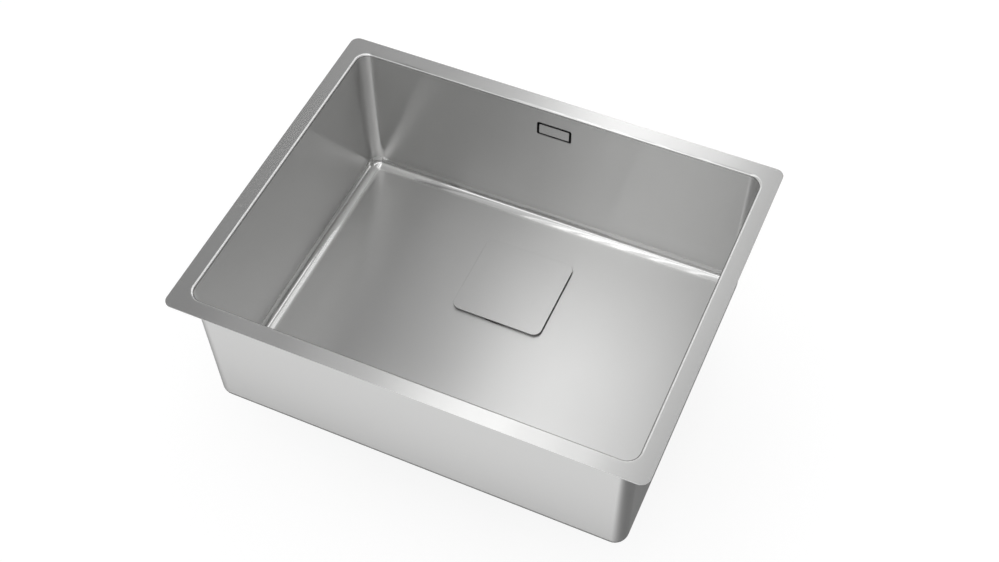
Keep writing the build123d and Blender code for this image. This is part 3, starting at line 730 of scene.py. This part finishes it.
@dataclass
class WasteThreads:
    """The waste's threaded pieces: the outlet under the chamber, and the screw that clamps it up to the cup."""

    outlet: Thread = Thread(23.9 * MM, 22.5 * MM, 2.309 * MM, corners=8, steps=72)
    outlet_bore: float = 20.5 * MM
    lead_in: float = 1.0 * MM
    collar_height: float = 6.0 * MM
    collar_edge: float = 0.6 * MM
    screw: Thread = Thread(3.0 * MM, 2.55 * MM, 1.0 * MM, steps=36)
    head_radius: float = 8.5 * MM
    head_height: float = 3.5 * MM
    head_edge: float = 1.1 * MM
    socket_radius: float = 3.7 * MM
    socket_depth: float = 2.6 * MM

    def build(self, wardrobe: Wardrobe) -> None:
        """Makes both pieces on the waste's axis."""
        axis = Vector((WASTE_AXIS.x, WASTE_AXIS.y, 0.0))
        self.make_outlet().put(axis).finish(wardrobe, Slot.WASTE_PLASTIC, Body.ROOT, "waste_outlet")
        self.make_screw().put(axis).finish(wardrobe, Slot.FASTENER, Body.ROOT, "clamp_screw")

    def make_outlet(self) -> Form:
        """The moulded outlet: a collar, and a round-crested pipe thread with a lead-in, bored through."""
        low, high = (corner.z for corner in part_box("waste_outlet"))
        collar_low = high - self.collar_height
        radius = (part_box("waste_outlet")[1].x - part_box("waste_outlet")[0].x) / 2
        collar = Form.rod("collar", radius, collar_low, high).bevel_end(collar_low, self.collar_edge, segments=2)
        hull = Form.rod("hull", self.outlet.over, low, collar_low + self.collar_edge).bevel_end(low, self.lead_in)
        bore = Form.rod("bore", self.outlet_bore, low - self.lead_in, high + self.lead_in)
        outlet = Form.threaded("outlet", self.outlet, low - self.lead_in, collar_low + 2 * self.collar_edge)
        return outlet.join(Join.KEEP, hull).join(Join.ADD, collar).join(Join.CUT, bore)

    def make_screw(self) -> Form:
        """The clamping screw: a thread up to the cup's floor, and a round head whose socket takes the latch."""
        low, top = (corner.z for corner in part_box("clamp_screw"))
        seat = top - self.head_height
        hull = Form.rod("hull", self.screw.over, low, seat + PAST, HULL_ROUND).bevel_end(low, self.screw.chamfer)
        head = Form.rod("head", self.head_radius, seat, top, HEAD_ROUND).bevel_end(top, self.head_edge, segments=4)
        socket = Form.rod("socket", self.socket_radius, top - self.socket_depth, top + PAST, HOLE_ROUND)
        screw = Form.threaded("clamping_screw", self.screw, low - PAST, seat + 2 * PAST)
        return screw.join(Join.KEEP, hull).join(Join.ADD, head).join(Join.CUT, socket)


@dataclass
class OverflowFasteners:
    """Threaded weld studs on the back wall, and the nuts that hold the overflow housing on them."""

    stud: Thread = Thread(2.0 * MM, 1.66 * MM, 0.7 * MM, steps=32)
    stud_length: float = 11.5 * MM
    plain_foot: float = 1.5 * MM
    lean: float = math.radians(1.0)
    nut_flats: float = 7.0 * MM
    nut_height: float = 3.2 * MM
    nut_edge: float = 0.55 * MM
    nut_play: float = 0.05 * MM
    spare: float = 2.5 * MM

    def build(self, wardrobe: Wardrobe) -> None:
        """Makes one stud and one nut, and copies them to the other side."""
        low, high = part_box("overflow_studs")
        reach = (high.x - low.x) / 2 - self.stud.crest
        outwards = Vector((0.0, math.cos(self.lean), -math.sin(self.lean)))
        foot = (low + high) / 2 - outwards * self.stud_length / 2
        for kind, slot, node, made in (
            ("stud", Slot.FASTENER, "overflow_studs", self.make_stud()),
            ("nut", Slot.FASTENER, "overflow_nuts", self.make_nut()),
        ):
            for side, across in (("left", -reach), ("right", reach)):
                one = made.copy(f"overflow_{kind}_{side}")
                place = foot + Vector((across, 0.0, 0.0))
                one.put(place, -math.pi / 2 - self.lean).finish(wardrobe, slot, Body.ROOT, node)
            bpy.data.objects.remove(made.piece)

    def make_stud(self) -> Form:
        """A stud along Z: a plain foot, then a thread with a chamfered tip."""
        tip = self.stud_length
        hull = Form.rod("hull", self.stud.over, 0.0, tip, HULL_ROUND).bevel_end(tip, self.stud.chamfer)
        foot = Form.rod("foot", self.stud.over, 0.0, self.plain_foot, HULL_ROUND)
        stud = Form.threaded("stud", self.stud, -PAST, tip + PAST)
        return stud.join(Join.KEEP, hull).join(Join.ADD, foot)

    def make_nut(self) -> Form:
        """A hexagon nut along Z with chamfered corners and a plain hole over the stud's thread."""
        high = self.stud_length - self.spare
        low = high - self.nut_height
        over_corners = self.nut_flats / math.sqrt(3)
        nut = Form.rod("nut", over_corners, low, high, HEXAGON)
        corners = Form.rod("corners", over_corners, low, high)
        corners.bevel_end(low, self.nut_edge).bevel_end(high, self.nut_edge)
        hole = Form.rod("hole", self.stud.crest + self.nut_play, low - PAST, high + PAST, HOLE_ROUND)
        return nut.join(Join.KEEP, corners).join(Join.CUT, hole)


# ---------------------------------------------------------------- studio
@dataclass(frozen=True)
class SoftBox:
    """A long rectangular lamp that hangs level over the object and runs from front to back."""

    name: str
    place: Point
    width: float
    length: float
    radiance: float

    def hang(self) -> None:
        """Adds the lamp. Its power follows from its radiance and area."""
        lamp = bpy.data.lights.new(self.name, "AREA")
        lamp.shape = "RECTANGLE"
        lamp.size = self.width
        lamp.size_y = self.length
        lamp.energy = self.radiance * math.pi * self.width * self.length
        held = bpy.data.objects.new(self.name, lamp)
        held.visible_camera = False
        held.location = self.place
        bpy.context.scene.collection.objects.link(held)


@dataclass(frozen=True)
class AirGlow:
    """A soft patch of light in the air round the studio."""

    azimuth: float
    elevation: float
    strength: float
    tightness: float = 5.0

    def towards(self, graph: Graph, way: bpy.types.NodeSocket) -> bpy.types.NodeSocket:
        """The patch's light in each direction.

        Args:
            graph: The world's graph.
            way: The direction looked in.

        Returns:
            Its strength there, which falls off smoothly round the patch's middle.
        """
        turn, rise = math.radians(self.azimuth), math.radians(self.elevation)
        middle = (math.cos(rise) * math.cos(turn), math.cos(rise) * math.sin(turn), math.sin(rise))
        near = graph.node("ShaderNodeVectorMath", {0: way, 1: middle}, operation="DOT_PRODUCT").outputs["Value"]
        fall = graph.math("MULTIPLY", graph.math("SUBTRACT", near, 1.0), self.tightness)
        return graph.math("MULTIPLY", graph.math("EXPONENT", fall), self.strength)


@dataclass(frozen=True)
class FloorCard:
    """A pale card with soft edges that lies on the floor and shows in reflections only."""

    left: float
    right: float
    front: float
    back: float
    strength: float
    softness: float = 0.08

    def at(self, graph: Graph, place: bpy.types.NodeSocket) -> bpy.types.NodeSocket:
        """The card's light at a place on the floor.

        Args:
            graph: The floor's graph.
            place: The place.

        Returns:
            Its strength there, which fades out over the soft edges.
        """
        parts = graph.node("ShaderNodeSeparateXYZ", {0: place}).outputs
        light = self.strength
        for part, low, high in ((parts[0], self.left, self.right), (parts[1], self.front, self.back)):
            for outside, inside in (
                (low - self.softness, low + self.softness),
                (high + self.softness, high - self.softness),
            ):
                edge = graph.spread(part, outside, inside, 0.0, 1.0, interpolation="SMOOTHSTEP")
                light = graph.math("MULTIPLY", light, edge)
        return light


@dataclass
class Studio:
    """Pale floor, dim air with soft glows, a row of soft boxes, and the camera at the photograph's view.

    Lengths are in metres and angles in degrees.

    Attributes:
        camera_place: Where the camera stands.
        azimuth: How far the camera is turned round the object, from the front towards the right.
        elevation: How far it looks down.
        roll: How far its picture is turned.
        focal_pixels: Its focal length, in pixels of a picture of picture_width.
        picture_width: Width of the picture that it was measured in.
        sensor: Width of its sensor, in millimetres.
        floor_z: Height of the floor.
        floor_size: Length of the floor's sides.
        floor_diffuse: How light the floor's own surface is.
        glow_seen: The floor's glow, as the camera sees it.
        glow_mirrored: The floor's glow in reflections, outside the cards.
        cards: Pale cards on the floor.
        air: Light from all round.
        ring: Strength of a level ring of light round the studio.
        ring_rise: Sine of the ring's elevation.
        ring_spread: How wide the ring is, on the same scale.
        glows: Soft patches of light in the air.
        row: Where each soft box hangs from left to right, and its radiance.
        box_middle: Middle of the soft boxes from front to back.
        box_height: Height of the first soft box.
        box_rise: How much higher each next one hangs, so that none meets its neighbour.
        box_width: Width of a soft box.
        box_length: Length of a soft box.
    """

    camera_place: Point = (0.4316, -0.9013, 1.2389)
    azimuth: float = 24.654
    elevation: float = 52.883
    roll: float = -0.768
    focal_pixels: float = 1476.3
    picture_width: int = 999
    sensor: float = 36.0
    floor_z: float = field(default_factory=lambda: CAD_BOX[0].z - FLOOR_GAP)
    floor_size: float = 60.0
    floor_diffuse: float = 0.25
    glow_seen: float = 0.84
    glow_mirrored: float = 0.074
    cards: tuple[FloorCard, ...] = (
        FloorCard(-1.2, 0.3, -1.2, -0.26, 0.95),
        FloorCard(-1.2, 1.0, 0.4, 1.6, 0.8),
    )
    air: float = 0.136
    ring: float = 1.7
    ring_rise: float = 0.52
    ring_spread: float = 0.045
    glows: tuple[AirGlow, ...] = (
        AirGlow(135, 6, 0.24),
        AirGlow(180, 6, 0.64),
        AirGlow(270, 6, 0.65),
        AirGlow(45, 40, 0.33),
        AirGlow(270, 40, 0.09),
        AirGlow(315, 40, 0.23),
    )
    row: tuple[tuple[float, float], ...] = (
        (-0.60, 0.21),
        (-0.45, 0.37),
        (-0.35, 0.40),
        (-0.27, 0.73),
        (-0.21, 0.64),
        (-0.15, 0.90),
        (-0.08, 0.82),
        (0.00, 0.78),
        (0.08, 0.53),
        (0.18, 0.29),
        (0.30, 1.32),
        (0.50, 0.79),
    )
    box_middle: float = 0.3
    box_height: float = 0.9
    box_rise: float = 0.002
    box_width: float = 0.1
    box_length: float = 2.8

    def build(self) -> None:
        """Makes the whole studio."""
        self.surroundings()
        self.floor()
        for number, (across, radiance) in enumerate(self.row):
            place = (across, self.box_middle, self.box_height + self.box_rise * number)
            SoftBox(f"box_{number}", place, self.box_width, self.box_length, radiance).hang()
        self.camera()

    def surroundings(self) -> None:
        """A dim world with a level ring of light some 30 degrees up, and a few soft glows."""
        world = bpy.data.worlds.new("studio_air")
        bpy.context.scene.world = world
        graph = Graph(world)
        way = graph.node("ShaderNodeTexCoord").outputs["Generated"]
        rise = graph.node("ShaderNodeSeparateXYZ", {0: way}).outputs[2]
        off = graph.math("DIVIDE", graph.math("SUBTRACT", rise, self.ring_rise), self.ring_spread)
        band = graph.math("EXPONENT", graph.math("MULTIPLY", graph.math("MULTIPLY", off, off), -1.0))
        strength = graph.math("MULTIPLY_ADD", band, self.ring, self.air)
        for glow in self.glows:
            strength = graph.math("ADD", strength, glow.towards(graph, way))
        light = graph.node("ShaderNodeBackground", {"Color": (1.0, 1.0, 1.0, 1.0), "Strength": strength})
        graph.node("ShaderNodeOutputWorld", {"Surface": light.outputs[0]})

    def floor(self) -> None:
        """A floor just under the outlet, which takes the object's shadow.

        The camera sees it pale all over. Reflections show it dim, apart from the cards.
        """
        bpy.ops.object.select_all(action="DESELECT")
        bpy.ops.mesh.primitive_plane_add(size=self.floor_size, location=(0.0, 0.0, self.floor_z))
        floor = bpy.context.object
        floor.name = "studio_floor"
        material = bpy.data.materials.new("studio_floor")
        graph = Graph(material)
        ray = graph.node("ShaderNodeLightPath").outputs
        place = graph.node("ShaderNodeTexCoord").outputs["Object"]
        light = self.glow_mirrored
        for card in self.cards:
            light = graph.math("ADD", light, card.at(graph, place))
        mirrors = graph.math("MAXIMUM", ray["Is Glossy Ray"], ray["Is Transmission Ray"])
        mirrored = graph.math("MULTIPLY", mirrors, light)
        seen = graph.math("MULTIPLY", ray["Is Camera Ray"], self.glow_seen)
        glow = graph.node(
            "ShaderNodeEmission", {"Color": (1.0, 1.0, 1.0, 1.0), "Strength": graph.math("ADD", seen, mirrored)}
        )
        matt = graph.node("ShaderNodeBsdfDiffuse", {"Color": (*(self.floor_diffuse,) * 3, 1.0)})
        both = graph.node("ShaderNodeAddShader", {0: glow.outputs[0], 1: matt.outputs[0]})
        graph.node("ShaderNodeOutputMaterial", {"Surface": both.outputs[0]})
        floor.data.materials.append(material)

    def camera(self) -> None:
        """The camera, from its place, its three angles and its focal length in pixels."""
        turn, rise, roll = (math.radians(angle) for angle in (self.azimuth, self.elevation, self.roll))
        back = Vector((math.sin(turn) * math.cos(rise), -math.cos(turn) * math.cos(rise), math.sin(rise)))
        level = (-back).cross(Vector((0, 0, 1))).normalized()
        down = (-back).cross(level)
        right = math.cos(roll) * level - math.sin(roll) * down
        up = -(math.sin(roll) * level + math.cos(roll) * down)
        lens = bpy.data.cameras.new("camera")
        lens.sensor_width = self.sensor
        lens.lens = self.sensor * self.focal_pixels / self.picture_width
        lens.clip_end = 2 * self.floor_size
        camera = bpy.data.objects.new("camera", lens)
        camera.matrix_world = Matrix.Translation(self.camera_place) @ Matrix((right, up, back)).transposed().to_4x4()
        bpy.context.scene.collection.objects.link(camera)
        bpy.context.scene.camera = camera


def main() -> None:
    """Builds the studio and dresses the sink, sub-assembly by sub-assembly."""
    logging.basicConfig(level=logging.INFO, format="%(message)s")
    Studio().build()
    wardrobe = Wardrobe()
    for subpart in frame["record"]["subparts"]:
        wardrobe.dress_nodes(Slot(subpart["material_slot"]), subpart["node"])
    WasteThreads().build(wardrobe)
    OverflowFasteners().build(wardrobe)
    bpy.context.scene.view_settings.view_transform = "Standard"


if __name__ == "__main__":
    main()
